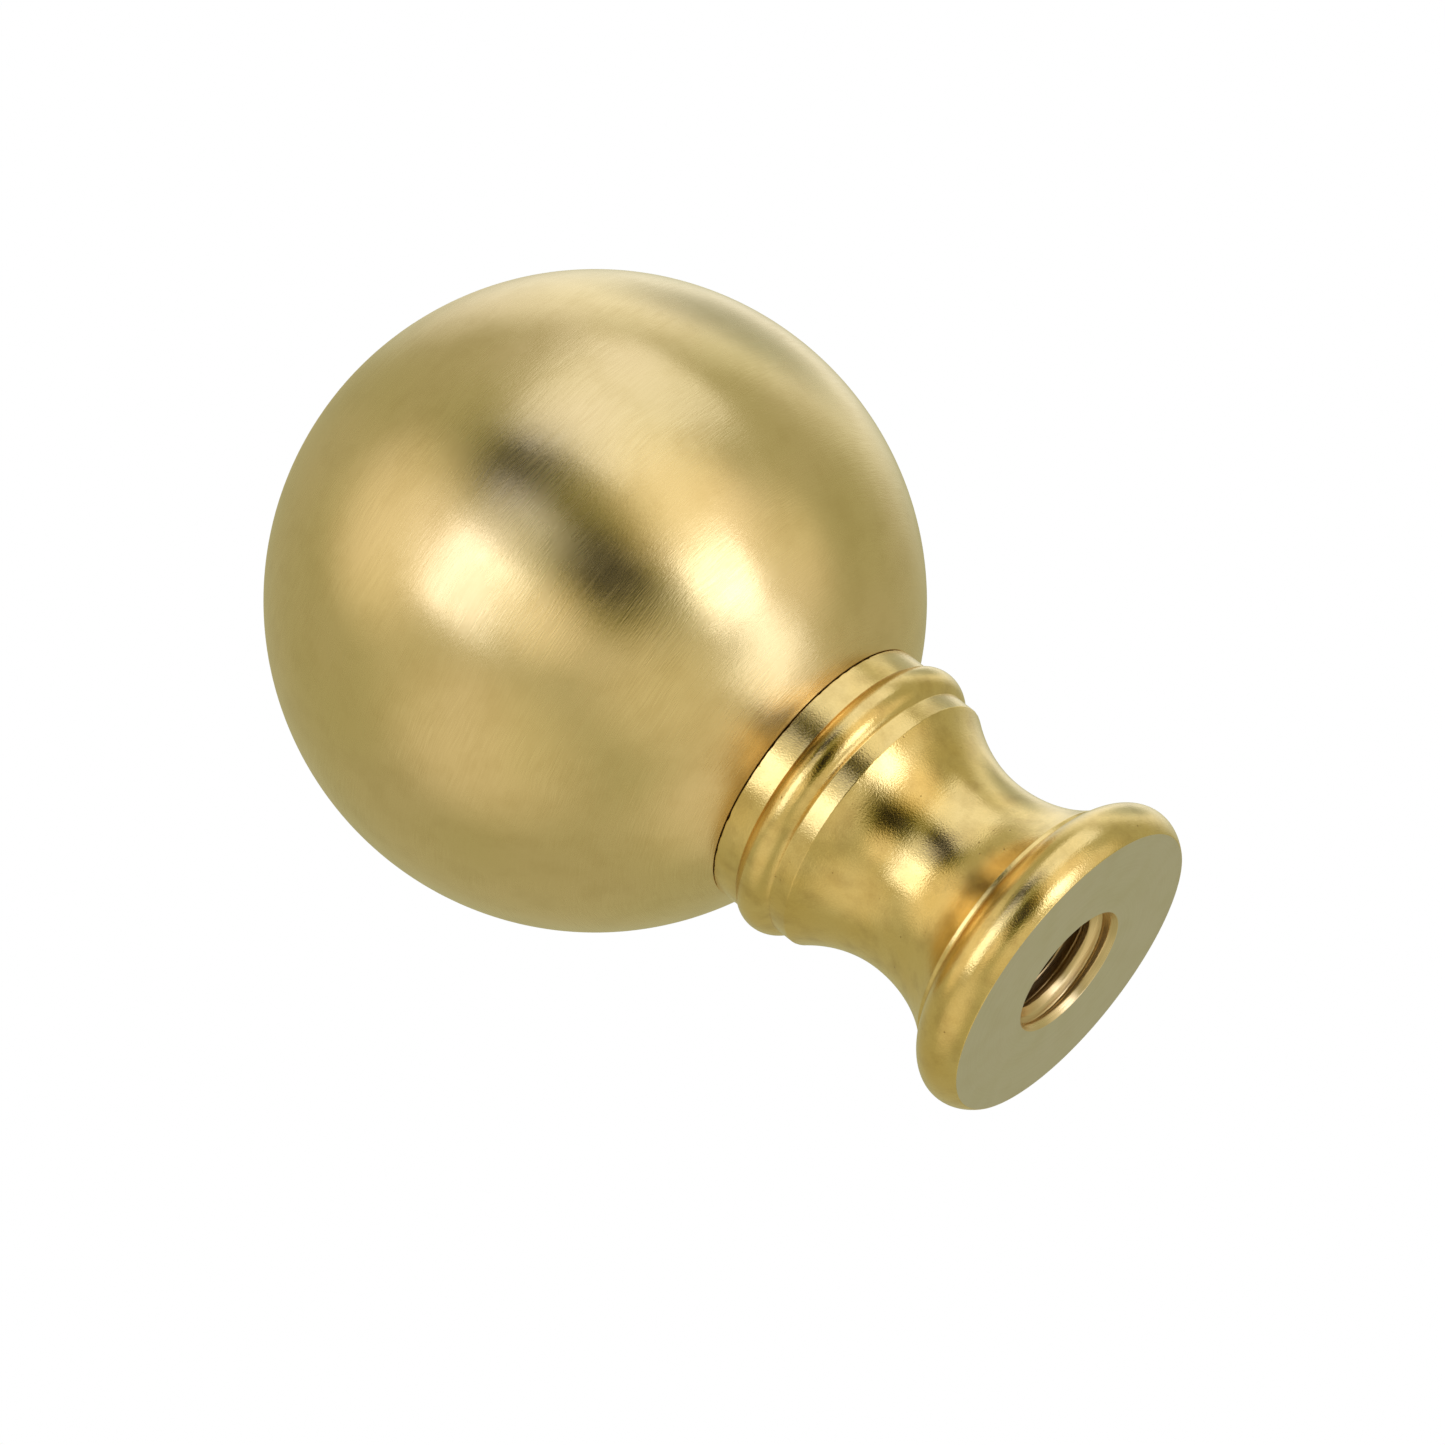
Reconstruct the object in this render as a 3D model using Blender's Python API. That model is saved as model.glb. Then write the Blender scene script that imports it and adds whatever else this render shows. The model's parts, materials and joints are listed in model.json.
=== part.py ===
"""Lamp shade finial: a turned brass ball seated on a turned brass base.

The base stands on its flat foot with its centre line on Z and the middle of
its underside at the origin, and the threaded hole opens downwards. The ball
rests on top of the base. Sizes are in metres and +Z is up.
"""

import math

import bmesh
import bpy

# Ball
BALL_DIAMETER = 0.0300

# Clearance between the flat on the ball and the top of the base
SEAT_GAP = 0.0003

# Threaded hole, drilled and tapped from below
THREAD_DIAMETER = 0.00635
COUNTERSINK_WIDTH = 0.0002
DRILL_POINT_ANGLE = math.radians(118.0)
METAL_OVER_HOLE = 0.0030

# Foot: a rounded rim with a flat underside
FOOT_RADIUS = 0.0081
FOOT_HEIGHT = 0.0030
FOOT_WIDEST_HEIGHT = 0.0012
FOOT_EDGE_INSET = 0.0005

# Fillet: the thin straight line between the foot and the neck
FILLET_RADIUS = 0.0066
FILLET_HEIGHT = 0.0002

# Neck: a waisted cove around the thread
NECK_WALL = 0.002025
NECK_BELOW_WAIST = 0.00405
NECK_ABOVE_WAIST = 0.00395

# Collar: two flat bands with a round bead between them
LOWER_BAND_RADIUS = 0.0066
LOWER_BAND_HEIGHT = 0.00095
BEAD_RADIUS = 0.0072
BEAD_BELOW_WIDEST = 0.0010
BEAD_ABOVE_WIDEST = 0.0008
UPPER_BAND_RADIUS = 0.0068
UPPER_BAND_HEIGHT = 0.00138

# How far round its ellipse each turned curve runs from its widest or
# narrowest line: a small sweep is a shallow bow, and 90 degrees ends square
FOOT_EDGE_SWEEP = math.radians(36.0)
FOOT_SHOULDER_SWEEP = math.radians(65.0)
NECK_BELOW_SWEEP = math.radians(48.0)
NECK_ABOVE_SWEEP = math.radians(26.0)
BEAD_BELOW_SWEEP = math.radians(66.0)
BEAD_ABOVE_SWEEP = math.radians(60.0)

# Facets
SIDES_AROUND = 60
BALL_STEPS_BELOW = 12
BALL_STEPS_ABOVE = 17
CURVE_STEPS = 7
SHORT_CURVE_STEPS = 4
SHARP_EDGE_ANGLE = math.radians(20.0)
MERGE_DISTANCE = 1e-7

# Finishes, as linear colours
BALL_COLOUR = (0.60, 0.43, 0.18, 1.0)
BALL_ROUGHNESS = 0.34
BASE_COLOUR = (0.66, 0.46, 0.18, 1.0)
BASE_ROUGHNESS = 0.24


def clear_scene():
    """Remove every object that the file opened with."""
    for old_object in list(bpy.data.objects):
        bpy.data.objects.remove(old_object, do_unlink=True)


def brass(name, colour, roughness):
    """Bare brass, with no lacquer."""
    material = bpy.data.materials.new(name)
    material.use_nodes = True
    shader = material.node_tree.nodes["Principled BSDF"]
    shader.inputs["Base Color"].default_value = colour
    shader.inputs["Metallic"].default_value = 1.0
    shader.inputs["Roughness"].default_value = roughness
    material.diffuse_color = colour
    return material


def turned_curve(start, end, sweep, steps):
    """Points of a turned curve after its start, as (radius, height).

    The start is the curve's widest or narrowest line, where it runs parallel
    to the centre line. From there it follows an ellipse through sweep to end.
    """
    start_radius, start_height = start
    end_radius, end_height = end
    points = []
    for step in range(1, steps + 1):
        angle = sweep * step / steps
        outward = (1.0 - math.cos(angle)) / (1.0 - math.cos(sweep))
        along = math.sin(angle) / math.sin(sweep)
        radius = start_radius + (end_radius - start_radius) * outward
        height = start_height + (end_height - start_height) * along
        points.append((radius, height))
    return points


def bowed_curve(bottom, widest, top, sweeps, steps):
    """Both halves of a turned curve from bottom to top, ends included."""
    lower = turned_curve(widest, bottom, sweeps[0], steps[0])
    upper = turned_curve(widest, top, sweeps[1], steps[1])
    return lower[::-1] + [widest] + upper


def turned_piece(name, profile, material):
    """Spin a profile of (radius, height) points into one closed solid."""
    mesh = bpy.data.meshes.new(name)
    shape = bmesh.new()
    corners = [shape.verts.new((radius, 0.0, height)) for radius, height in profile]
    outline = [shape.edges.new(pair) for pair in zip(corners, corners[1:])]
    bmesh.ops.spin(
        shape,
        geom=corners + outline,
        cent=(0.0, 0.0, 0.0),
        axis=(0.0, 0.0, 1.0),
        angle=math.tau,
        steps=SIDES_AROUND,
        use_merge=True,
    )
    bmesh.ops.remove_doubles(shape, verts=shape.verts, dist=MERGE_DISTANCE)
    bmesh.ops.recalc_face_normals(shape, faces=shape.faces)
    shape.to_mesh(mesh)
    shape.free()
    mesh.shade_smooth()
    mesh.set_sharp_from_angle(angle=SHARP_EDGE_ANGLE)
    mesh.materials.append(material)
    piece = bpy.data.objects.new(name, mesh)
    bpy.context.scene.collection.objects.link(piece)
    return piece


def seat_height():
    """Height of the flat on the ball above the underside of the foot."""
    neck = NECK_BELOW_WAIST + NECK_ABOVE_WAIST
    bead = BEAD_BELOW_WIDEST + BEAD_ABOVE_WIDEST
    collar = LOWER_BAND_HEIGHT + bead + UPPER_BAND_HEIGHT
    return FOOT_HEIGHT + FILLET_HEIGHT + neck + collar


def foot_profile():
    """The rounded rim, from the edge of the flat underside up to the fillet."""
    underside = (FOOT_RADIUS - FOOT_EDGE_INSET, 0.0)
    widest = (FOOT_RADIUS, FOOT_WIDEST_HEIGHT)
    shoulder = (FILLET_RADIUS, FOOT_HEIGHT)
    sweeps = (FOOT_EDGE_SWEEP, FOOT_SHOULDER_SWEEP)
    return bowed_curve(underside, widest, shoulder, sweeps, (SHORT_CURVE_STEPS, CURVE_STEPS))


def neck_profile():
    """The cove, from the top of the fillet up to the lower band."""
    bottom = FOOT_HEIGHT + FILLET_HEIGHT
    waist = bottom + NECK_BELOW_WAIST
    waist_radius = THREAD_DIAMETER / 2.0 + NECK_WALL
    return bowed_curve(
        (FILLET_RADIUS, bottom),
        (waist_radius, waist),
        (LOWER_BAND_RADIUS, waist + NECK_ABOVE_WAIST),
        (NECK_BELOW_SWEEP, NECK_ABOVE_SWEEP),
        (CURVE_STEPS, CURVE_STEPS),
    )


def bead_profile():
    """The bead, from the top of the lower band up to the upper band."""
    bead_top = seat_height() - UPPER_BAND_HEIGHT
    widest = bead_top - BEAD_ABOVE_WIDEST
    return bowed_curve(
        (LOWER_BAND_RADIUS, widest - BEAD_BELOW_WIDEST),
        (BEAD_RADIUS, widest),
        (UPPER_BAND_RADIUS, bead_top),
        (BEAD_BELOW_SWEEP, BEAD_ABOVE_SWEEP),
        (SHORT_CURVE_STEPS, SHORT_CURVE_STEPS),
    )


def hole_profile():
    """The drilled and countersunk hole, from its point down to its mouth."""
    radius = THREAD_DIAMETER / 2.0
    point_height = seat_height() - SEAT_GAP - METAL_OVER_HOLE
    wall_top = point_height - radius / math.tan(DRILL_POINT_ANGLE / 2.0)
    return [
        (0.0, point_height),
        (radius, wall_top),
        (radius, COUNTERSINK_WIDTH),
        (radius + COUNTERSINK_WIDTH, 0.0),
    ]


def make_base():
    """The base in one piece: foot, fillet, neck and collar around the hole."""
    top = seat_height() - SEAT_GAP
    outside = foot_profile() + neck_profile() + bead_profile()
    outside += [(UPPER_BAND_RADIUS, top), (0.0, top)]
    finish = brass("turned_brass", BASE_COLOUR, BASE_ROUGHNESS)
    return turned_piece("base", hole_profile() + outside, finish)


def make_ball():
    """The ball, with a flat as wide as the upper band where it is seated."""
    radius = BALL_DIAMETER / 2.0
    flat_sweep = math.acos(UPPER_BAND_RADIUS / radius)
    flat_height = -radius * math.sin(flat_sweep)
    surface = bowed_curve(
        (UPPER_BAND_RADIUS, flat_height),
        (radius, 0.0),
        (0.0, radius),
        (flat_sweep, math.pi / 2.0),
        (BALL_STEPS_BELOW, BALL_STEPS_ABOVE),
    )
    finish = brass("satin_brass", BALL_COLOUR, BALL_ROUGHNESS)
    ball = turned_piece("ball", [(0.0, flat_height)] + surface, finish)
    ball.location.z = seat_height() - flat_height
    return ball


def main():
    """Build the finial."""
    clear_scene()
    make_base()
    make_ball()


main()
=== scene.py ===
"""Looks of a turned brass lamp shade finial, standing upright on its flat foot.

The ball and the base are surfaces of revolution worked out with numpy, with
the thread cut in the base's hole. Lengths are in metres and +Z is up.
"""

import json
import math

import bpy
import numpy as np
from bpy.props import FloatProperty, FloatVectorProperty, IntProperty, PointerProperty
from mathutils import Matrix, Vector

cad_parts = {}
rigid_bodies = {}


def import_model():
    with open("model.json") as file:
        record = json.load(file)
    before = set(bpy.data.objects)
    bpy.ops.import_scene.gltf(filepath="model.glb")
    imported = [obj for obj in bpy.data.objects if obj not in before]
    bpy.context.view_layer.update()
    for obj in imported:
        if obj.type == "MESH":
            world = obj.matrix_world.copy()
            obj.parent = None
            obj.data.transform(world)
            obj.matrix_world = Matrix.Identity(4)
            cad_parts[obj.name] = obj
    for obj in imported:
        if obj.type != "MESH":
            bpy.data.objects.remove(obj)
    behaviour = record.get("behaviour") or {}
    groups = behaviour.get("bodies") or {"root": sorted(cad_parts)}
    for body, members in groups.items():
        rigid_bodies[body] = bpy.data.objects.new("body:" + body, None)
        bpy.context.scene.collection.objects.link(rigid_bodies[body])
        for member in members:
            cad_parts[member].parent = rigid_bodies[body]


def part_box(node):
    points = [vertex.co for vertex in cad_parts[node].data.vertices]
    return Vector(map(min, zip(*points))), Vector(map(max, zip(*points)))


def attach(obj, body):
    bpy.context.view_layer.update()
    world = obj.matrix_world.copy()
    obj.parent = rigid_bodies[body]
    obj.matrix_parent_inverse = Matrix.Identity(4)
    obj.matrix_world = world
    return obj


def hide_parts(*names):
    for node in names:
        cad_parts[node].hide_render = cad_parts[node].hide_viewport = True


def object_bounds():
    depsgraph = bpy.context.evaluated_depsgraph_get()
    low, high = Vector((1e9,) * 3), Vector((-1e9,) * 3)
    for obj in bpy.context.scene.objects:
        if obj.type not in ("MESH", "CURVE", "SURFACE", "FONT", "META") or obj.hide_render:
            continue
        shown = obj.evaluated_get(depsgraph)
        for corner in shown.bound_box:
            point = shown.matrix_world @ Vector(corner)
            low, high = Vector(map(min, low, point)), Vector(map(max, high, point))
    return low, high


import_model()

bl_info = {
    "name": "Brass Lamp Finial",
    "version": (1, 0, 0),
    "blender": (4, 5, 0),
    "location": "3D Viewport > Sidebar > Finial",
    "description": "Builds a turned brass lamp shade finial and a plain studio around it",
    "category": "Object",
}

MM = 0.001
CAD_LOW, CAD_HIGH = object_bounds()
BALL_LOW, BALL_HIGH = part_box("ball")
BASE_LOW, BASE_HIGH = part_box("base")
BALL_RADIUS = (BALL_HIGH.x - BALL_LOW.x) / 2.0
BALL_CENTRE = BALL_HIGH.z - BALL_RADIUS

# Where the finial is in the photograph, and how it is seen
PHOTO_SIDE = 1445
PHOTO_BALL_CENTRE = (594.75, 600.35)
PHOTO_BALL_RADIUS = 331.8
PHOTO_AXIS_SLOPE = math.radians(38.05)
VIEW_OFF_AXIS = math.radians(69.58)
CAMERA_DISTANCE = 0.823
SENSOR_WIDTH = 36.0

# Turned profile of the base, heights from the underside of the foot
FOOT_EDGE = 7.6 * MM
FOOT_WIDEST_HEIGHT = 1.2 * MM
FOOT_TOP = 3.0 * MM
FILLET_TOP = 3.2 * MM
WAIST_HEIGHT = 7.25 * MM
NECK_TOP = 11.2 * MM
LOWER_BAND_TOP = 12.15 * MM
BEAD_WIDEST_HEIGHT = 13.15 * MM
BEAD_TOP = 13.95 * MM

FOOT_EDGE_SWEEP = math.radians(36.0)
FOOT_SHOULDER_SWEEP = math.radians(65.0)
NECK_BELOW_SWEEP = math.radians(48.0)
NECK_ABOVE_SWEEP = math.radians(26.0)
BEAD_BELOW_SWEEP = math.radians(66.0)
BEAD_ABOVE_SWEEP = math.radians(60.0)

# Thread: 27 turns to the inch, cut to a sharp sixty degree form
THREAD_PITCH = 25.4 * MM / 27.0
THREAD_DEPTH = 0.541 * THREAD_PITCH
THREAD_END = 8.6 * MM
DRILL_END = 10.3 * MM
DRILL_POINT = 12.0 * MM
FIRST_ROOT_HEIGHT = 0.60 * MM
FIRST_ROOT_ANGLE = math.radians(96.0)
ENTRY_STEP = 0.07 * MM
ENTRY_CLOSING = math.radians(60.0)
COUNTERSINK_SLOPE = 0.56
BURR_REACH = 0.07 * MM

# Rows and columns of the surfaces: the hole's rows are closer together as
# far up as the camera sees into it
AROUND_BALL = 256
AROUND_BASE = 240
BALL_ROWS = 140
SEEN_DEPTH = 3.2 * MM
SEEN_ROWS = 90
DEEP_ROWS = 84

# Slots of the base's three finishes
TURNED, FACED, CUT = 0, 1, 2


def linear(hex_colour):
    """Linear RGBA of an sRGB hex colour."""
    channels = np.array([int(hex_colour[i:i + 2], 16) for i in (1, 3, 5)]) / 255.0
    curved = ((channels + 0.055) / 1.055) ** 2.4
    straight = channels / 12.92
    return (*(float(c) for c in np.where(channels > 0.04045, curved, straight)), 1.0)


class FinialSizes(bpy.types.PropertyGroup):
    """Sizes of the turned forms that can be set without leaving the solids."""

    seam: FloatProperty(
        name="Seam", description="Width of the joint line between ball and base",
        default=0.055 * MM, min=0.0, unit="LENGTH", precision=5)
    fillet_radius: FloatProperty(
        name="Fillet radius", description="Radius of the thin line above the foot",
        default=6.6 * MM, unit="LENGTH", precision=5)
    waist_radius: FloatProperty(
        name="Waist radius", description="Radius of the neck at its narrowest",
        default=5.2 * MM, unit="LENGTH", precision=5)
    lower_band_radius: FloatProperty(
        name="Lower band radius", description="Radius of the flat band above the neck",
        default=6.6 * MM, unit="LENGTH", precision=5)
    bead_radius: FloatProperty(
        name="Bead radius", description="Radius of the bead at its widest",
        default=7.2 * MM, unit="LENGTH", precision=5)
    thread_radius: FloatProperty(
        name="Thread radius", description="Outer radius of the tapped thread",
        default=3.175 * MM, unit="LENGTH", precision=5)
    countersink: FloatProperty(
        name="Countersink", description="How far the hole's mouth is wider than the thread",
        default=0.11 * MM, unit="LENGTH", precision=5)
    thread_winding: IntProperty(
        name="Thread winding",
        description="1 for a right-handed thread, -1 for the way it is seen to wind",
        default=-1, min=-1, max=1)
    burr_depth: FloatProperty(
        name="Burr depth", description="How uneven the cut edges of the bands are",
        default=0.04 * MM, min=0.0, unit="LENGTH", precision=5)
    edge_easing: FloatProperty(
        name="Edge easing", description="How far each crisp edge is rounded over",
        default=0.03 * MM, min=0.001 * MM, unit="LENGTH", precision=5)


class FinialFinishes(bpy.types.PropertyGroup):
    """Colours and polish of the brass."""

    ball_colour: FloatVectorProperty(
        name="Ball brass", description="Colour of the satin brushed ball",
        subtype="COLOR", size=4, default=linear("#E4CD99"), min=0.0, max=1.0)
    ball_roughness: FloatProperty(
        name="Ball roughness", description="How soft the ball's reflections are",
        default=0.26, min=0.0, max=1.0, subtype="FACTOR")
    ball_brushing: FloatProperty(
        name="Ball brushing", description="How far the strokes draw the ball's reflections out",
        default=0.6, min=0.0, max=1.0, subtype="FACTOR")
    base_colour: FloatVectorProperty(
        name="Base brass", description="Colour of the turned and polished base",
        subtype="COLOR", size=4, default=linear("#E7C781"), min=0.0, max=1.0)
    base_roughness: FloatProperty(
        name="Base roughness", description="How soft the base's reflections are",
        default=0.19, min=0.0, max=1.0, subtype="FACTOR")
    faced_colour: FloatVectorProperty(
        name="Faced brass", description="Colour of the matt underside of the foot",
        subtype="COLOR", size=4, default=linear("#CAC3B4"), min=0.0, max=1.0)
    cut_colour: FloatVectorProperty(
        name="Cut brass", description="Colour of the freshly cut countersink and thread",
        subtype="COLOR", size=4, default=linear("#E6CFA4"), min=0.0, max=1.0)


class FinialStage(bpy.types.PropertyGroup):
    """The plain studio."""

    floor_colour: FloatVectorProperty(
        name="Floor", description="Colour of the pale floor",
        subtype="COLOR", size=4, default=linear("#E8E8F6"), min=0.0, max=1.0)
    surround: FloatProperty(
        name="Surround", description="Brightness of the room that the brass reflects",
        default=0.47, min=0.0)
    light_strength: FloatProperty(
        name="Lights", description="Brightness of the soft lights, times their own",
        default=1.0, min=0.0)


def bow(start, end, sweep, steps):
    """A turned curve from start, where it runs parallel to the axis, to end.

    It is the stretch of an ellipse between 0 and sweep: the radius follows
    1 - cos(angle) and the height sin(angle), both scaled to reach end.
    """
    angle = np.linspace(0.0, sweep, steps + 1)
    outward = (1.0 - np.cos(angle)) / (1.0 - math.cos(sweep))
    along = np.sin(angle) / math.sin(sweep)
    radius = start[0] + (end[0] - start[0]) * outward
    height = start[1] + (end[1] - start[1]) * along
    return np.column_stack([radius, height])


def bowed(bottom, widest, top, sweeps, steps):
    """Both halves of a turned curve, from bottom over widest to top."""
    lower = bow(widest, bottom, sweeps[0], steps[0])[::-1]
    upper = bow(widest, top, sweeps[1], steps[1])
    return np.vstack([lower, upper[1:]])


def straight(start, end, steps):
    """A straight run, with its points closer together towards both ends."""
    share = (1.0 - np.cos(np.linspace(0.0, math.pi, steps + 1))) / 2.0
    return np.asarray(start) + share[:, None] * (np.asarray(end) - np.asarray(start))


def lengths_along(points):
    """Distance of each point of a profile from its first, along the profile."""
    steps = np.linalg.norm(np.diff(points, axis=0), axis=1)
    return np.concatenate([[0.0], np.cumsum(steps)])


def cut_back(points, at_start, at_end):
    """A run with a length taken off its start and off its end."""
    along = lengths_along(points)
    first, last = at_start, along[-1] - at_end
    inside = (along > first) & (along < last)
    place = np.concatenate([[first], along[inside], [last]])
    return np.column_stack([np.interp(place, along, points[:, k]) for k in (0, 1)])


def eased(runs, easing, steps=3):
    """Runs joined end to end, with each corner turned into a small parabola.

    The parabola leaves the first run at distance easing before the corner
    and meets the next one at the same distance after it.
    """
    share = np.linspace(0.0, 1.0, steps + 2)[1:-1, None]
    pieces = []
    for index, run in enumerate(runs):
        room = lengths_along(run)[-1] / 3.0
        before = min(easing, room) if index else 0.0
        after = min(easing, room) if index + 1 < len(runs) else 0.0
        pieces.append(cut_back(run, before, after))
    joined = [pieces[0]]
    for run, here, following in zip(runs, pieces, pieces[1:]):
        start, corner, end = here[-1], run[-1], following[0]
        curve = (1 - share) ** 2 * start + 2 * share * (1 - share) * corner + share ** 2 * end
        joined += [curve, following]
    return np.vstack(joined)


def turned_grid(profile, around):
    """Points of a profile (radius, height) at every angle, and those angles."""
    angle = np.linspace(0.0, math.tau, around, endpoint=False)
    radius = np.repeat(profile[:, :1], around, axis=1)
    height = np.repeat(profile[:, 1:], around, axis=1)
    return radius, height, np.broadcast_to(angle, radius.shape)


def closed_surface(name, radius, height, angle, along, finish_rows, materials):
    """One closed mesh from a grid whose first and last rows lie on the axis.

    A point is (radius cos(angle), radius sin(angle), height). Rows run along
    the profile and columns round the axis; each end row is a single pole.
    """
    rows, around = radius.shape
    grid = np.stack([radius * np.cos(angle), radius * np.sin(angle), height], axis=2)
    points = np.vstack([grid[:1, 0], grid[1:-1].reshape(-1, 3), grid[-1:, 0]])
    column = np.arange(around)
    beside = (column + 1) % around
    first = 1 + np.arange(rows - 3)[:, None] * around
    quads = np.stack([first + column, first + beside,
                      first + around + beside, first + around + column], axis=2)
    last_row = 1 + (rows - 3) * around
    pole = len(points) - 1
    start_fan = np.column_stack([np.zeros(around, int), 1 + beside, 1 + column])
    end_fan = np.column_stack([last_row + column, last_row + beside, np.full(around, pole)])
    corners = np.concatenate([start_fan.ravel(), quads.reshape(-1), end_fan.ravel()])
    sizes = np.concatenate([np.full(around, 3), np.full((rows - 3) * around, 4),
                            np.full(around, 3)])

    mesh = bpy.data.meshes.new(name)
    mesh.vertices.add(len(points))
    mesh.vertices.foreach_set("co", points.astype(np.float32).ravel())
    mesh.loops.add(len(corners))
    mesh.loops.foreach_set("vertex_index", corners.astype(np.int32))
    mesh.polygons.add(len(sizes))
    mesh.polygons.foreach_set("loop_start", np.concatenate([[0], np.cumsum(sizes)[:-1]]))
    row_of_face = np.repeat(np.arange(rows - 1), around)
    mesh.polygons.foreach_set("material_index", np.asarray(finish_rows)[row_of_face])
    mesh.update(calc_edges=True)
    mesh.shade_smooth()

    lengths = np.concatenate([along[:1], np.repeat(along[1:-1], around), along[-1:]])
    run = mesh.attributes.new("along", "FLOAT", "POINT")
    run.data.foreach_set("value", lengths.astype(np.float32))
    turn = np.stack([column, column + 1, column + 1, column], axis=1) / around
    half = (column + 0.5) / around
    start_turn = np.column_stack([half, (column + 1) / around, column / around])
    end_turn = np.column_stack([column / around, (column + 1) / around, half])
    u = np.concatenate([start_turn.ravel(), np.tile(turn.ravel(), rows - 3), end_turn.ravel()])
    v = lengths[corners] / along[-1]
    layout = mesh.uv_layers.new(name="turned")
    layout.data.foreach_set("uv", np.column_stack([u, v]).astype(np.float32).ravel())
    for material in materials:
        mesh.materials.append(material)
    mesh.validate()
    piece = bpy.data.objects.new(name, mesh)
    bpy.context.scene.collection.objects.link(piece)
    return piece


def seat_radius():
    """Radius of the flat on the ball, from its height in the solid."""
    return math.sqrt(BALL_RADIUS ** 2 - (BALL_CENTRE - BALL_LOW.z) ** 2)


def ball_profile(sizes):
    """The ball from the middle of its flat, round the sphere, to its top."""
    flat = seat_radius()
    angle = np.linspace(math.asin(flat / BALL_RADIUS), math.pi, BALL_ROWS)
    sphere = np.column_stack([BALL_RADIUS * np.sin(angle),
                              BALL_CENTRE - BALL_RADIUS * np.cos(angle)])
    sphere[-1, 0] = 0.0
    seat = straight((0.0, BALL_LOW.z), (flat, BALL_LOW.z), 8)
    return eased([seat, sphere], sizes.edge_easing)


def outer_runs(sizes):
    """The base's outside, from the mouth of the hole to the middle of its top."""
    top = BALL_LOW.z - sizes.seam
    mouth = sizes.thread_radius + sizes.countersink
    band = seat_radius()
    fillet = sizes.fillet_radius
    lower = sizes.lower_band_radius
    foot = bowed((FOOT_EDGE, 0.0), (BASE_HIGH.x, FOOT_WIDEST_HEIGHT), (fillet, FOOT_TOP),
                 (FOOT_EDGE_SWEEP, FOOT_SHOULDER_SWEEP), (14, 24))
    neck = bowed((fillet, FILLET_TOP), (sizes.waist_radius, WAIST_HEIGHT), (lower, NECK_TOP),
                 (NECK_BELOW_SWEEP, NECK_ABOVE_SWEEP), (24, 20))
    bead = bowed((lower, LOWER_BAND_TOP), (sizes.bead_radius, BEAD_WIDEST_HEIGHT),
                 (band, BEAD_TOP), (BEAD_BELOW_SWEEP, BEAD_ABOVE_SWEEP), (14, 12))
    return [
        straight((mouth, 0.0), (FOOT_EDGE, 0.0), 18),
        foot,
        straight((fillet, FOOT_TOP), (fillet, FILLET_TOP), 3),
        neck,
        straight((lower, NECK_TOP), (lower, LOWER_BAND_TOP), 6),
        bead,
        straight((band, BEAD_TOP), (band, top), 8),
        straight((band, top), (0.0, top), 8),
    ]


def burr(angle):
    """Unevenness of a cut edge round the axis, from 0 to 1.

    Five sines of unlike counts of waves are added and their sum is squared,
    which leaves long smooth stretches between short nicks.
    """
    counts = np.array([5.0, 13.0, 31.0, 47.0, 71.0])
    phases = np.array([0.4, 2.1, 5.2, 1.3, 3.7])
    usual_peak = 3.2
    total = np.sin(counts * angle[..., None] + phases).sum(axis=-1) / usual_peak
    return np.clip(total, -1.0, 1.0) ** 2


def nicked(radius, height, angle, edges, depth, reach):
    """The grid with the material at each edge drawn back unevenly.

    A point goes down or up, away from the open side, by the burr times the
    depth, fading as a bell with its distance from the edge over the reach.
    """
    for edge_radius, edge_height, side in edges:
        away = np.hypot(radius - edge_radius, height - edge_height)
        bell = np.exp(-(away / reach) ** 2)
        height = height + side * depth * burr(angle + edge_radius / MM) * bell
    return height


def thread_form(turns):
    """Depth of the cut, 0 on the crest and 1 at the root, by turns of pitch.

    The form is a wave with flat crests a quarter of a pitch wide and flat
    roots an eighth of a pitch wide, joined by straight flanks.
    """
    half_crest, half_root = 0.125, 0.0625
    from_crest = np.abs((turns + 0.5) % 1.0 - 0.5)
    return np.clip((from_crest - half_crest) / (0.5 - half_root - half_crest), 0.0, 1.0)


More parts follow.
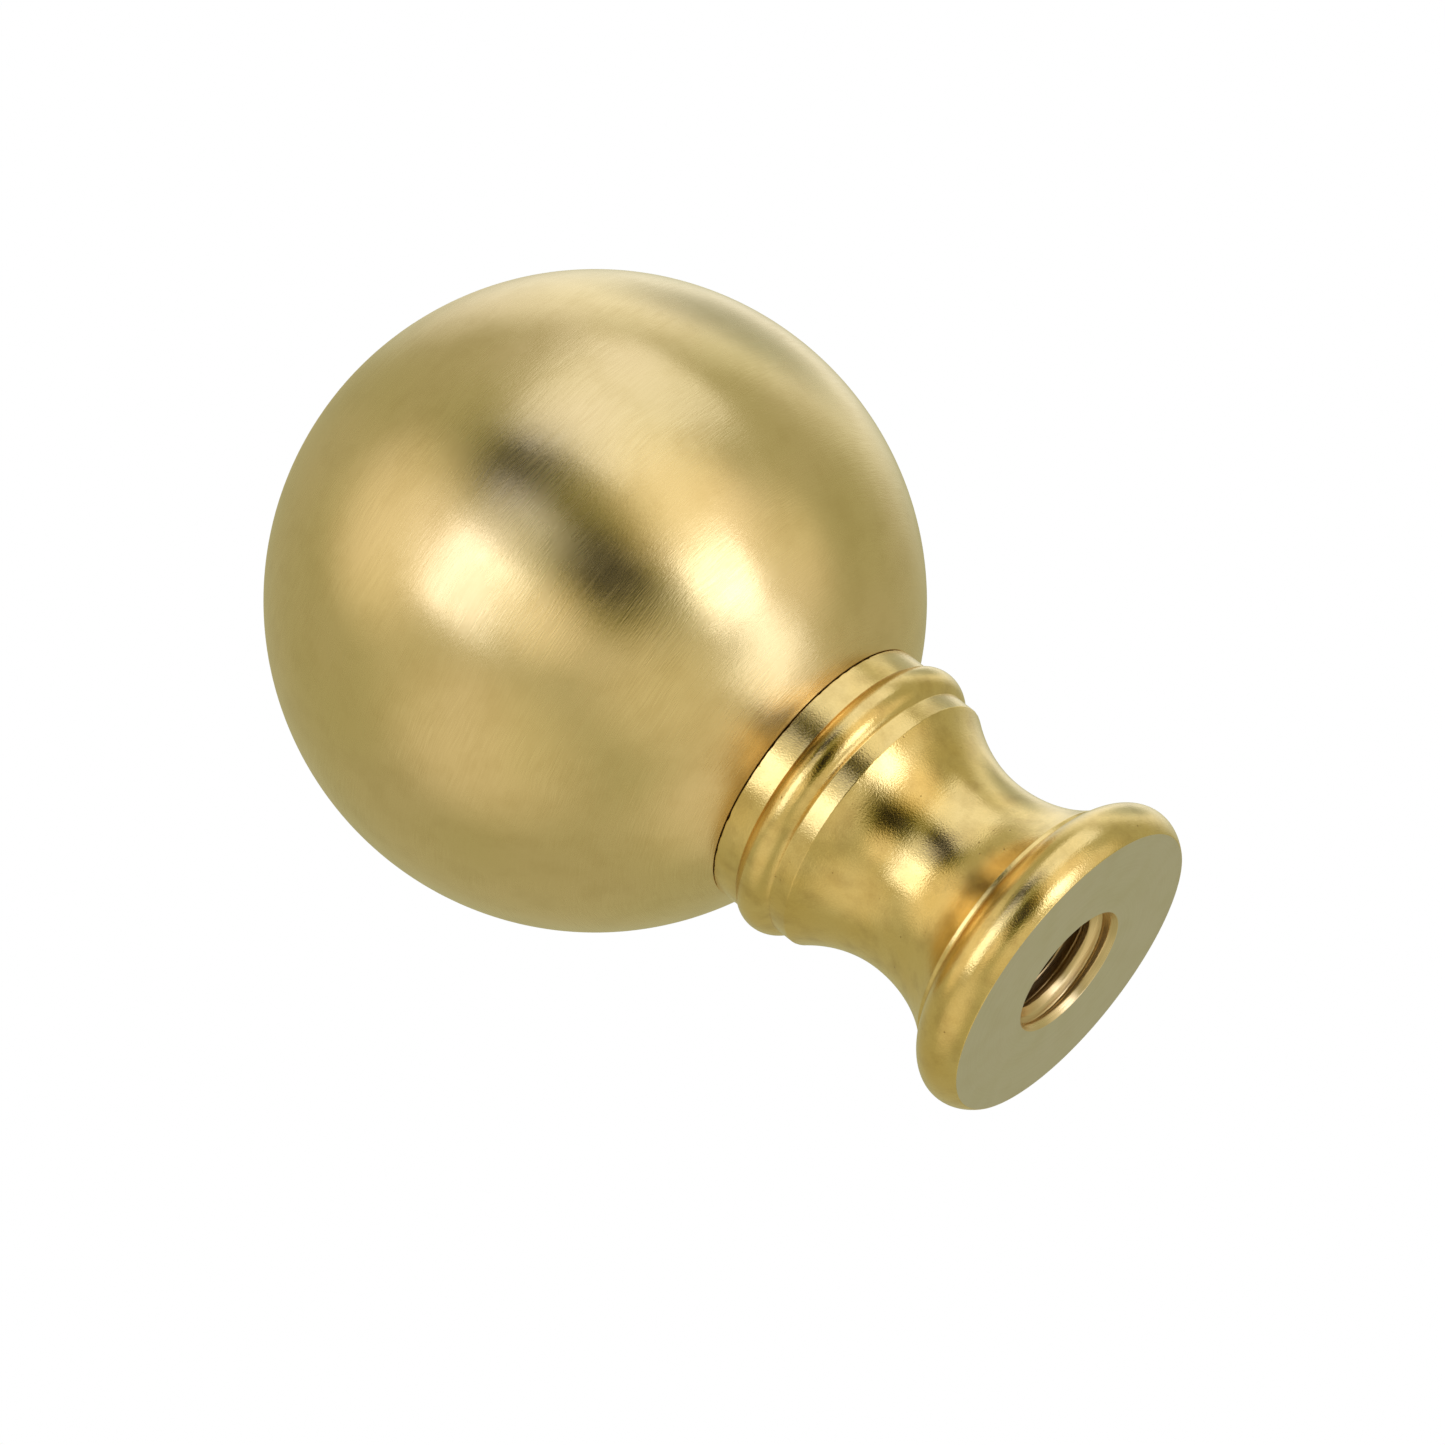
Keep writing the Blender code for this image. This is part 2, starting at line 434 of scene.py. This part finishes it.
def hole_grid(sizes, around):
    """The drilled, tapped and countersunk hole, from its point to its mouth.

    At each height the wall is as wide as the widest of four cuts: the drill,
    the thread, whose phase is height over pitch less winding times angle over
    a full turn, the countersink, a steep cone, and the tap's entry, a plain
    bore that ends at the first root and dies out where that turn closes.
    """
    drill = sizes.thread_radius - THREAD_DEPTH
    mouth = sizes.thread_radius + sizes.countersink
    angle = np.linspace(0.0, math.tau, around, endpoint=False)
    point = np.array([[0.0, DRILL_POINT], [drill / 2.0, (DRILL_POINT + DRILL_END) / 2.0]])
    deep = np.linspace(DRILL_END, SEEN_DEPTH, DEEP_ROWS, endpoint=False)
    seen = np.linspace(SEEN_DEPTH, 0.0, SEEN_ROWS)
    heights = np.concatenate([deep, seen])
    fade = np.clip((THREAD_END - heights) / THREAD_PITCH, 0.0, 1.0)[:, None]
    wound = sizes.thread_winding * (angle[None] - FIRST_ROOT_ANGLE) / math.tau
    form = thread_form((heights[:, None] - FIRST_ROOT_HEIGHT) / THREAD_PITCH - wound + 0.5)
    wall = drill + THREAD_DEPTH * form * fade
    cone = mouth - COUNTERSINK_SLOPE * heights[:, None]
    first_root = FIRST_ROOT_HEIGHT + THREAD_PITCH * wound
    closing = np.clip((math.tau - angle) / ENTRY_CLOSING, 0.0, 1.0)
    entry = drill + (THREAD_DEPTH - ENTRY_STEP) * closing[None]
    entry = np.where(heights[:, None] < first_root, entry, 0.0)
    wall = np.maximum(np.maximum(wall, cone), entry)
    radius = np.vstack([np.repeat(point[:, :1], around, axis=1), wall])
    height = np.vstack([np.repeat(point[:, 1:], around, axis=1),
                        np.repeat(heights[:, None], around, axis=1)])
    return radius, height


def add_node(tree, kind, inputs=None, **settings):
    """Add a node, set its own settings, and fill its inputs.

    An input takes a plain value, a socket to link from, or another node,
    which stands for its first output.
    """
    node = tree.nodes.new(kind)
    for name, value in settings.items():
        setattr(node, name, value)
    for key, value in (inputs or {}).items():
        if isinstance(value, bpy.types.Node):
            value = value.outputs[0]
        if isinstance(value, bpy.types.NodeSocket):
            tree.links.new(value, node.inputs[key])
        else:
            node.inputs[key].default_value = value
    return node


def new_metal(name, colour, roughness, anisotropy=0.0):
    """A metal shader with its constant values set, and the tree to add to."""
    material = bpy.data.materials.new(name)
    material.use_nodes = True
    material.diffuse_color = colour
    tree = material.node_tree
    shader = tree.nodes["Principled BSDF"]
    shader.inputs["Base Color"].default_value = colour
    shader.inputs["Metallic"].default_value = 1.0
    shader.inputs["Roughness"].default_value = roughness
    shader.inputs["Anisotropic"].default_value = anisotropy
    if anisotropy:
        shader.inputs["Anisotropic Rotation"].default_value = 0.25
        tangent = add_node(tree, "ShaderNodeTangent", direction_type="UV_MAP", uv_map="turned")
        tree.links.new(tangent.outputs[0], shader.inputs["Tangent"])
    return material, tree, shader


def lathe_coordinate(tree, stroke_length, stroke_width, drift=0.0):
    """Coordinates in which strokes run round the axis.

    X and Y are the object's own, in stroke lengths. Z is the distance along
    the turned profile, in stroke widths, plus a slow noise times the drift,
    so that the strokes stray from true circles.
    """
    sway_size = 3.5 * MM
    place = add_node(tree, "ShaderNodeTexCoord").outputs["Object"]
    along = add_node(tree, "ShaderNodeAttribute", attribute_name="along")
    sway = add_node(tree, "ShaderNodeTexNoise", {
        "Vector": place, "Scale": 1.0 / sway_size, "Detail": 1.0})
    strayed = add_node(tree, "ShaderNodeMath", {
        0: sway, 1: drift, 2: along.outputs["Fac"]}, operation="MULTIPLY_ADD")
    run = add_node(tree, "ShaderNodeMath", {0: strayed, 1: 1.0 / stroke_width},
                   operation="MULTIPLY")
    lift = add_node(tree, "ShaderNodeCombineXYZ", {"Z": run})
    flat = (1.0 / stroke_length, 1.0 / stroke_length, 0.0)
    return add_node(tree, "ShaderNodeVectorMath", {0: place, 1: flat, 2: lift},
                    operation="MULTIPLY_ADD")


# Noise stays almost wholly between these values, so coats set in between them
NOISE_LOW = 0.3
NOISE_HIGH = 0.7


def finish_metal(tree, shader, colour, coats, polish, reliefs):
    """Give a metal its coats of tone, its polish and its relief.

    A coat is a pattern, the two values between which it sets in, how much of
    it shows at most, and its colour. Polish is a varying roughness. A relief
    is a pattern and the real height between the pattern's 0 and its 1.
    """
    for pattern, start, full, most, tone in coats:
        shown = add_node(tree, "ShaderNodeMapRange", {
            "Value": pattern, "From Min": start, "From Max": full, "To Max": most})
        mixed = add_node(tree, "ShaderNodeMix", {0: shown, 6: colour, 7: linear(tone)},
                         data_type="RGBA")
        colour = mixed.outputs[2]
    tree.links.new(colour, shader.inputs["Base Color"])
    tree.links.new(polish.outputs[0], shader.inputs["Roughness"])
    below = {}
    for pattern, depth in reliefs:
        bump = add_node(tree, "ShaderNodeBump", {"Height": pattern, "Distance": depth, **below})
        below = {"Normal": bump}
    tree.links.new(bump.outputs[0], shader.inputs["Normal"])


def satin_brushed_brass(finishes):
    """Brass, yellow alloy, brushed on the lathe with a fine abrasive pad.

    Hair-fine strokes run round the ball and draw its reflections out along
    the axis. They are deeper in some places than in others, and a finer grain
    roughens the edges of the reflections. The real strokes are a hundredth or
    two of a millimetre wide, and are drawn under a tenth wide so that they show.
    """
    material, tree, shader = new_metal(
        "satin_brushed_brass", finishes.ball_colour, finishes.ball_roughness,
        finishes.ball_brushing)
    place = add_node(tree, "ShaderNodeTexCoord").outputs["Object"]
    strokes = add_node(tree, "ShaderNodeTexNoise", {
        "Vector": lathe_coordinate(tree, 1.4 * MM, 0.07 * MM, drift=0.6 * MM),
        "Scale": 1.0, "Detail": 1.0})
    bands = add_node(tree, "ShaderNodeTexNoise", {
        "Vector": lathe_coordinate(tree, 6.0 * MM, 0.30 * MM, drift=0.5 * MM), "Scale": 1.0})
    grain = add_node(tree, "ShaderNodeTexNoise", {
        "Vector": lathe_coordinate(tree, 0.24 * MM, 0.06 * MM, drift=0.4 * MM), "Scale": 1.0})
    cloud = add_node(tree, "ShaderNodeTexNoise", {"Vector": place, "Scale": 1.0 / (3.0 * MM)})
    blush = add_node(tree, "ShaderNodeTexNoise", {
        "Vector": place, "Scale": 1.0 / (7.0 * MM), "Detail": 1.0})
    dulled = add_node(tree, "ShaderNodeTexNoise", {
        "Vector": place, "Scale": 1.0 / (1.8 * MM), "Detail": 3.0, "Roughness": 0.55})
    patches = add_node(tree, "ShaderNodeTexNoise", {"Vector": place, "Scale": 1.0 / (5.0 * MM)})
    pressure = add_node(tree, "ShaderNodeMapRange", {
        "Value": patches, "From Min": 0.38, "From Max": 0.62, "To Min": 0.25})
    centred = add_node(tree, "ShaderNodeMath", {0: strokes, 1: 0.5}, operation="SUBTRACT")
    hairs = add_node(tree, "ShaderNodeMath", {0: centred, 1: pressure, 2: 0.5},
                     operation="MULTIPLY_ADD")

    cloud_polish = add_node(tree, "ShaderNodeMapRange", {
        "Value": cloud, "From Min": NOISE_LOW, "From Max": NOISE_HIGH,
        "To Min": finishes.ball_roughness - 0.02, "To Max": finishes.ball_roughness + 0.03})
    hair_polish = add_node(tree, "ShaderNodeMapRange", {
        "Value": hairs, "From Min": NOISE_LOW, "From Max": NOISE_HIGH,
        "To Min": -0.03, "To Max": 0.03})
    polish = add_node(tree, "ShaderNodeMath", {0: cloud_polish, 1: hair_polish}, operation="ADD")

    coats = ((blush, NOISE_LOW, NOISE_HIGH, 0.5, "#F2D5AF"),
             (dulled, 0.45, 0.72, 0.2, "#BFA367"),
             (hairs, NOISE_LOW, NOISE_HIGH, 0.16, "#B89758"))
    reliefs = ((bands, 0.003 * MM), (hairs, 0.0045 * MM), (grain, 0.0042 * MM))
    finish_metal(tree, shader, finishes.ball_colour, coats, polish, reliefs)
    return material


def turned_brass(finishes):
    """Brass turned on a lathe and tumbled, which leaves a bright, grainy skin.

    Reflections are sharper than the ball's, and break up at their edges into
    grain, drawn a little under a tenth of a millimetre across, coarser than
    the real one, so that it shows. A few pits of about the same size are
    left in it, and handling has dulled it in small clouds.
    """
    material, tree, shader = new_metal(
        "turned_brass", finishes.base_colour, finishes.base_roughness)
    place = add_node(tree, "ShaderNodeTexCoord").outputs["Object"]
    grain = add_node(tree, "ShaderNodeTexNoise", {
        "Vector": place, "Scale": 1.0 / (0.085 * MM), "Roughness": 0.6})
    dulled = add_node(tree, "ShaderNodeTexNoise", {
        "Vector": place, "Scale": 1.0 / (1.1 * MM), "Detail": 3.0, "Roughness": 0.55})
    rings = add_node(tree, "ShaderNodeTexNoise", {
        "Vector": lathe_coordinate(tree, 5.0 * MM, 0.12 * MM), "Scale": 1.0, "Detail": 1.0})
    cloud = add_node(tree, "ShaderNodeTexNoise", {"Vector": place, "Scale": 1.0 / (2.5 * MM)})

    cells = add_node(tree, "ShaderNodeTexVoronoi", {"Vector": place, "Scale": 1.0 / (0.42 * MM)})
    hole = add_node(tree, "ShaderNodeMapRange", {
        "Value": cells.outputs["Distance"], "From Min": 0.05, "From Max": 0.14,
        "To Min": 1.0, "To Max": 0.0})
    chance = add_node(tree, "ShaderNodeSeparateColor", {0: cells.outputs["Color"]})
    picked = add_node(tree, "ShaderNodeMath", {0: chance, 1: 0.6}, operation="GREATER_THAN")
    patches = add_node(tree, "ShaderNodeTexNoise", {
        "Vector": place, "Scale": 1.0 / (2.2 * MM), "Detail": 1.0})
    clusters = add_node(tree, "ShaderNodeMapRange", {
        "Value": patches, "From Min": 0.5, "From Max": 0.62})
    some = add_node(tree, "ShaderNodeMath", {0: hole, 1: picked}, operation="MULTIPLY")
    pits = add_node(tree, "ShaderNodeMath", {0: some, 1: clusters}, operation="MULTIPLY")

    polish = add_node(tree, "ShaderNodeMapRange", {
        "Value": cloud, "From Min": NOISE_LOW, "From Max": NOISE_HIGH,
        "To Min": finishes.base_roughness - 0.03, "To Max": finishes.base_roughness + 0.03})
    coats = ((cloud, NOISE_LOW, NOISE_HIGH, 0.5, "#F3DCA5"),
             (grain, NOISE_LOW, NOISE_HIGH, 0.16, "#B8944D"),
             (dulled, 0.46, 0.72, 0.32, "#A5854C"),
             (pits, 0.0, 1.0, 1.0, "#977941"))
    reliefs = ((grain, 0.008 * MM), (rings, 0.003 * MM), (pits, -0.006 * MM))
    finish_metal(tree, shader, finishes.base_colour, coats, polish, reliefs)
    return material


def faced_brass(finishes):
    """Brass faced flat with a fine tool, and left matt.

    The underside shows an even, greyer tone, with faint rings round the hole
    and pale brown smudges.
    """
    material, tree, shader = new_metal("faced_brass", finishes.faced_colour, 0.48)
    place = add_node(tree, "ShaderNodeTexCoord").outputs["Object"]
    rings = add_node(tree, "ShaderNodeTexNoise", {
        "Vector": lathe_coordinate(tree, 6.0 * MM, 0.12 * MM), "Scale": 1.0})
    grain = add_node(tree, "ShaderNodeTexNoise", {
        "Vector": place, "Scale": 1.0 / (0.12 * MM), "Detail": 1.0})
    cloud = add_node(tree, "ShaderNodeTexNoise", {
        "Vector": place, "Scale": 1.0 / (3.0 * MM), "Detail": 1.0})
    smudges = add_node(tree, "ShaderNodeTexNoise", {"Vector": place, "Scale": 1.0 / (1.4 * MM)})
    polish = add_node(tree, "ShaderNodeMapRange", {
        "Value": rings, "From Min": NOISE_LOW, "From Max": NOISE_HIGH,
        "To Min": 0.45, "To Max": 0.52})
    coats = ((cloud, NOISE_LOW, NOISE_HIGH, 0.5, "#C7C2AD"),
             (smudges, 0.45, 0.7, 0.16, "#B5A886"),
             (rings, NOISE_LOW, NOISE_HIGH, 0.07, "#9D9678"))
    reliefs = ((rings, 0.003 * MM), (grain, 0.003 * MM))
    finish_metal(tree, shader, finishes.faced_colour, coats, polish, reliefs)
    return material


def cut_brass(finishes):
    """Brass freshly cut by a countersink and a tap, bright and a little pink.

    Fine tool lines run round the flanks of the thread, and the turns further
    in are darkened brown with painted shade, the deep hole's shade laid into the colour.
    """
    material, tree, shader = new_metal("cut_brass", finishes.cut_colour, 0.24)
    rings = add_node(tree, "ShaderNodeTexNoise", {
        "Vector": lathe_coordinate(tree, 5.0 * MM, 0.08 * MM), "Scale": 1.0, "Roughness": 0.6})
    place = add_node(tree, "ShaderNodeTexCoord").outputs["Object"]
    depth = add_node(tree, "ShaderNodeSeparateXYZ", {0: place}).outputs["Z"]
    polish = add_node(tree, "ShaderNodeMapRange", {
        "Value": rings, "From Min": NOISE_LOW, "From Max": NOISE_HIGH,
        "To Min": 0.26, "To Max": 0.38})
    coats = ((rings, NOISE_LOW, NOISE_HIGH, 0.3, "#A98656"),
             # painted shade: the cut brass turns darker brown from 1 mm to 2 mm up into the hole
             (depth, 1.0 * MM, 2.0 * MM, 0.6, "#6B4A28"))
    finish_metal(tree, shader, finishes.cut_colour, coats, polish, ((rings, 0.007 * MM),))
    return material


class FINIAL_OT_add_ball(bpy.types.Operator):
    """Add the satin brushed ball"""

    bl_idname = "finial.add_ball"
    bl_label = "Add Ball"
    bl_options = {"REGISTER", "UNDO"}

    def execute(self, context):
        sizes = context.scene.finial_sizes
        profile = ball_profile(sizes)
        radius, height, angle = turned_grid(profile, AROUND_BALL)
        piece = closed_surface(
            "ball_surface", radius, height, angle, lengths_along(profile),
            np.zeros(len(profile) - 1, int),
            [satin_brushed_brass(context.scene.finial_finishes)])
        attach(piece, "root")
        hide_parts("ball")
        return {"FINISHED"}


class FINIAL_OT_add_base(bpy.types.Operator):
    """Add the turned base with its tapped hole"""

    bl_idname = "finial.add_base"
    bl_label = "Add Base"
    bl_options = {"REGISTER", "UNDO"}

    def execute(self, context):
        sizes = context.scene.finial_sizes
        finishes = context.scene.finial_finishes
        hole_radius, hole_height = hole_grid(sizes, AROUND_BASE)
        outside = eased(outer_runs(sizes), sizes.edge_easing)
        radius, height, angle = turned_grid(outside, AROUND_BASE)
        band_edges = ((seat_radius(), BALL_LOW.z - sizes.seam, -1.0),
                      (sizes.lower_band_radius, NECK_TOP, 1.0))
        height = nicked(radius, height, angle, band_edges, sizes.burr_depth, BURR_REACH)
        radius = np.vstack([hole_radius, radius[1:]])
        height = np.vstack([hole_height, height[1:]])
        angle = np.broadcast_to(angle[:1], radius.shape)
        along = lengths_along(np.column_stack([radius.mean(axis=1), height.mean(axis=1)]))
        cut_rows = len(hole_radius) - 1
        faced_rows = np.count_nonzero(outside[:, 1] <= 0.0) - 1
        finish_rows = np.full(len(radius) - 1, TURNED)
        finish_rows[:cut_rows + faced_rows] = FACED
        finish_rows[:cut_rows] = CUT
        piece = closed_surface(
            "base_surface", radius, height, angle, along, finish_rows,
            [turned_brass(finishes), faced_brass(finishes), cut_brass(finishes)])
        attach(piece, "root")
        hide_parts("base")
        return {"FINISHED"}


def view_axes():
    """Right, up and back of the photograph's view, as columns, in the world.

    The view is fixed by two directions that both spaces know: from the ball
    to the camera, and from the ball down the axis to the foot.
    """
    focal = PHOTO_BALL_RADIUS / math.tan(math.asin(BALL_RADIUS / CAMERA_DISTANCE))
    middle = (PHOTO_SIDE - 1) / 2.0
    ball = Vector((PHOTO_BALL_CENTRE[0] - middle, middle - PHOTO_BALL_CENTRE[1], -focal))
    back_seen = -ball.normalized()
    slope = Vector((math.cos(PHOTO_AXIS_SLOPE), -math.sin(PHOTO_AXIS_SLOPE), 0.0))
    across_seen = (slope - slope.dot(back_seen) * back_seen).normalized()
    back = Vector((0.0, -math.sin(VIEW_OFF_AXIS), -math.cos(VIEW_OFF_AXIS)))
    across = Vector((0.0, math.cos(VIEW_OFF_AXIS), -math.sin(VIEW_OFF_AXIS)))
    seen = Matrix([back_seen, across_seen, back_seen.cross(across_seen)]).transposed()
    real = Matrix([back, across, back.cross(across)]).transposed()
    return real @ seen.transposed(), back, focal


def add_camera():
    """A long lens from the photograph's side, below the finial."""
    axes, back, focal = view_axes()
    data = bpy.data.cameras.new("camera")
    data.sensor_width = SENSOR_WIDTH
    data.lens = SENSOR_WIDTH * focal / PHOTO_SIDE
    data.clip_start = 0.01
    data.clip_end = 10.0
    camera = bpy.data.objects.new("camera", data)
    camera.matrix_world = axes.to_4x4()
    camera.location = Vector((0.0, 0.0, BALL_CENTRE)) + back * CAMERA_DISTANCE
    bpy.context.scene.collection.objects.link(camera)
    bpy.context.scene.camera = camera
    return axes


# Soft lights: direction in the photograph's view (right, up, towards the
# camera), width and height in metres, strength in watts and colour
SOFTBOX = "#E0E8FF"
SOFT_LIGHTS = (
    ("left_light", (-0.7, 0.1, 0.7), (0.3, 0.3), 0.5, SOFTBOX),
    ("left_upper_light", (-0.5, 0.4, 0.8), (0.3, 0.3), 0.2, SOFTBOX),
    ("right_light", (0.7, 0.1, 0.7), (0.25, 0.25), 0.5, SOFTBOX),
    ("right_lower_light", (0.9, -0.3, 0.4), (0.25, 0.25), 0.3, SOFTBOX),
    ("top_light", (0.1, 1.0, 0.3), (0.6, 0.5), 0.8, SOFTBOX),
)
LIGHT_DISTANCE = 0.6

# Brighter and darker places in the room round the finial: direction in the
# photograph's view, reach in degrees, brightness added and colour
ROOM_COLOUR = "#FFFFCC"
WARM_WALL = "#FFF0E0"
COOL_WALL = "#E8F0FF"
GAP = "#FFFFFF"
ROOM_PATCHES = (
    ("camera_opening", (0.1, 0.2, 1.0), 30.0, -0.5, GAP),
    ("upper_gap", (-0.4, 0.7, 0.6), 25.0, -0.5, GAP),
    ("back_gap", (0.3, 0.6, -0.7), 20.0, -0.7, GAP),
    ("left_of_camera", (-0.3, -0.1, 0.9), 20.0, 0.6, WARM_WALL),
    ("right_of_camera", (0.5, 0.5, 0.7), 30.0, 0.7, WARM_WALL),
    ("left_wall", (-0.9, 0.3, 0.2), 35.0, 0.5, WARM_WALL),
    ("right_wall", (0.9, 0.2, 0.3), 25.0, 0.4, WARM_WALL),
    ("wall_behind", (0.2, 0.6, -0.7), 40.0, 0.9, COOL_WALL),
    ("table_front", (0.4, -0.5, 0.8), 30.0, 0.3, WARM_WALL),
    ("table_left", (-0.6, -0.7, 0.4), 40.0, 0.3, WARM_WALL),
    ("table_right", (0.7, -0.7, 0.0), 40.0, 0.4, WARM_WALL),
)


def add_soft_light(name, direction, size, strength, colour, axes, scale):
    """An area light that faces the finial and isn't itself in view."""
    data = bpy.data.lights.new(name, "AREA")
    data.shape = "RECTANGLE"
    data.size, data.size_y = size
    data.energy = strength * scale
    data.color = linear(colour)[:3]
    light = bpy.data.objects.new(name, data)
    towards = (axes @ Vector(direction)).normalized()
    centre = Vector((0.0, 0.0, (CAD_LOW.z + CAD_HIGH.z) / 2.0))
    light.location = centre + towards * LIGHT_DISTANCE
    light.rotation_euler = towards.to_track_quat("Z", "Y").to_euler()
    light.visible_camera = False
    bpy.context.scene.collection.objects.link(light)


def add_world(surround, axes):
    """White to look at, and a dimmer room with soft patches in the brass.

    Each patch adds its colour times a smooth step of the cosine between the
    direction looked in and the patch's own, from its reach to its middle.
    """
    world = bpy.data.worlds.new("white_room")
    bpy.context.scene.world = world
    world.use_nodes = True
    tree = world.node_tree
    tree.nodes.clear()
    looked = add_node(tree, "ShaderNodeTexCoord").outputs["Generated"]
    colour = [surround * c for c in linear(ROOM_COLOUR)[:3]]
    for _, direction, reach, amount, tint in ROOM_PATCHES:
        towards = tuple((axes @ Vector(direction)).normalized())
        near = add_node(tree, "ShaderNodeVectorMath", {0: looked, 1: towards},
                        operation="DOT_PRODUCT").outputs["Value"]
        share = add_node(tree, "ShaderNodeMapRange", {
            "Value": near, "From Min": math.cos(math.radians(reach)), "From Max": 1.0,
            "To Min": 0.0, "To Max": 1.0}, interpolation_type="SMOOTHSTEP").outputs[0]
        added = tuple(amount * c for c in linear(tint)[:3])
        colour = add_node(tree, "ShaderNodeVectorMath", {0: share, 1: added, 2: colour},
                          operation="MULTIPLY_ADD").outputs[0]
    lit = add_node(tree, "ShaderNodeVectorMath", {0: colour}, operation="MAXIMUM").outputs[0]
    room = add_node(tree, "ShaderNodeBackground", {"Color": lit, "Strength": 1.0})
    backdrop = add_node(tree, "ShaderNodeBackground", {
        "Color": linear("#FFFFFF"), "Strength": 1.0})
    path = add_node(tree, "ShaderNodeLightPath")
    either = add_node(tree, "ShaderNodeMixShader", {
        0: path.outputs["Is Camera Ray"], 1: room.outputs[0], 2: backdrop.outputs[0]})
    add_node(tree, "ShaderNodeOutputWorld", {"Surface": either.outputs[0]})


FLOOR_RADIUS = 0.40
FLOOR_FADE_START = 0.12
FLOOR_DROP = 0.05 * MM


def floor_finish(colour):
    """Pale matt floor, clear from below, that fades out at its rim."""
    material = bpy.data.materials.new("pale_floor")
    material.use_nodes = True
    tree = material.node_tree
    tree.nodes.clear()
    matt = add_node(tree, "ShaderNodeBsdfDiffuse", {"Color": colour})
    clear = add_node(tree, "ShaderNodeBsdfTransparent")
    place = add_node(tree, "ShaderNodeTexCoord")
    reach = add_node(tree, "ShaderNodeVectorMath", {0: place.outputs["Object"]}, operation="LENGTH")
    fade = add_node(tree, "ShaderNodeMapRange", {
        "Value": reach.outputs["Value"], "From Min": FLOOR_FADE_START,
        "From Max": FLOOR_RADIUS, "To Min": 0.0, "To Max": 1.0},
        interpolation_type="SMOOTHSTEP")
    side = add_node(tree, "ShaderNodeNewGeometry")
    gone = add_node(tree, "ShaderNodeMath", {
        0: fade.outputs[0], 1: side.outputs["Backfacing"]}, operation="MAXIMUM")
    shown = add_node(tree, "ShaderNodeMixShader", {
        0: gone.outputs[0], 1: matt.outputs[0], 2: clear.outputs[0]})
    add_node(tree, "ShaderNodeOutputMaterial", {"Surface": shown.outputs[0]})
    return material


def add_floor(colour):
    """A round floor just under the foot, seen only from above.

    The photograph looks up from below, so the floor is one-sided, and it
    neither lights the brass nor shades it.
    """
    around = 96
    angle = np.linspace(0.0, math.tau, around, endpoint=False)
    rim = np.column_stack([FLOOR_RADIUS * np.cos(angle), FLOOR_RADIUS * np.sin(angle),
                           np.full(around, -FLOOR_DROP)])
    mesh = bpy.data.meshes.new("floor")
    mesh.from_pydata(rim.tolist(), [], [list(range(around))])
    mesh.materials.append(floor_finish(colour))
    floor = bpy.data.objects.new("floor", mesh)
    floor.visible_diffuse = False
    floor.visible_glossy = False
    floor.visible_transmission = False
    floor.visible_shadow = False
    bpy.context.scene.collection.objects.link(floor)


class FINIAL_OT_add_stage(bpy.types.Operator):
    """Add the pale floor, the soft lights and the camera"""

    bl_idname = "finial.add_stage"
    bl_label = "Add Stage"
    bl_options = {"REGISTER", "UNDO"}

    def execute(self, context):
        stage = context.scene.finial_stage
        axes = add_camera()
        for light in SOFT_LIGHTS:
            add_soft_light(*light, axes, stage.light_strength)
        add_world(stage.surround, axes)
        add_floor(stage.floor_colour)
        context.scene.view_settings.view_transform = "Standard"
        return {"FINISHED"}


class FINIAL_PT_sidebar(bpy.types.Panel):
    """Lists the finial's sizes, finishes and pieces"""

    bl_label = "Brass Finial"
    bl_space_type = "VIEW_3D"
    bl_region_type = "UI"
    bl_category = "Finial"

    def draw(self, context):
        scene = context.scene
        for settings in (scene.finial_sizes, scene.finial_finishes, scene.finial_stage):
            box = self.layout.box()
            for name in settings.__annotations__:
                box.prop(settings, name)
        for operator in (FINIAL_OT_add_ball, FINIAL_OT_add_base, FINIAL_OT_add_stage):
            self.layout.operator(operator.bl_idname)


CLASSES = (
    FinialSizes,
    FinialFinishes,
    FinialStage,
    FINIAL_OT_add_ball,
    FINIAL_OT_add_base,
    FINIAL_OT_add_stage,
    FINIAL_PT_sidebar,
)


def register():
    """Make the settings, operators and panel known to Blender."""
    for each in CLASSES:
        bpy.utils.register_class(each)
    bpy.types.Scene.finial_sizes = PointerProperty(type=FinialSizes)
    bpy.types.Scene.finial_finishes = PointerProperty(type=FinialFinishes)
    bpy.types.Scene.finial_stage = PointerProperty(type=FinialStage)


def unregister():
    """Take them out again."""
    del bpy.types.Scene.finial_stage
    del bpy.types.Scene.finial_finishes
    del bpy.types.Scene.finial_sizes
    for each in reversed(CLASSES):
        bpy.utils.unregister_class(each)


def main():
    """Build the finial and its studio."""
    for old_object in [o for o in bpy.data.objects if o.name in ("Cube", "Light", "Camera")]:
        bpy.data.objects.remove(old_object, do_unlink=True)
    register()
    bpy.ops.finial.add_ball()
    bpy.ops.finial.add_base()
    bpy.ops.finial.add_stage()


if __name__ == "__main__":
    main()
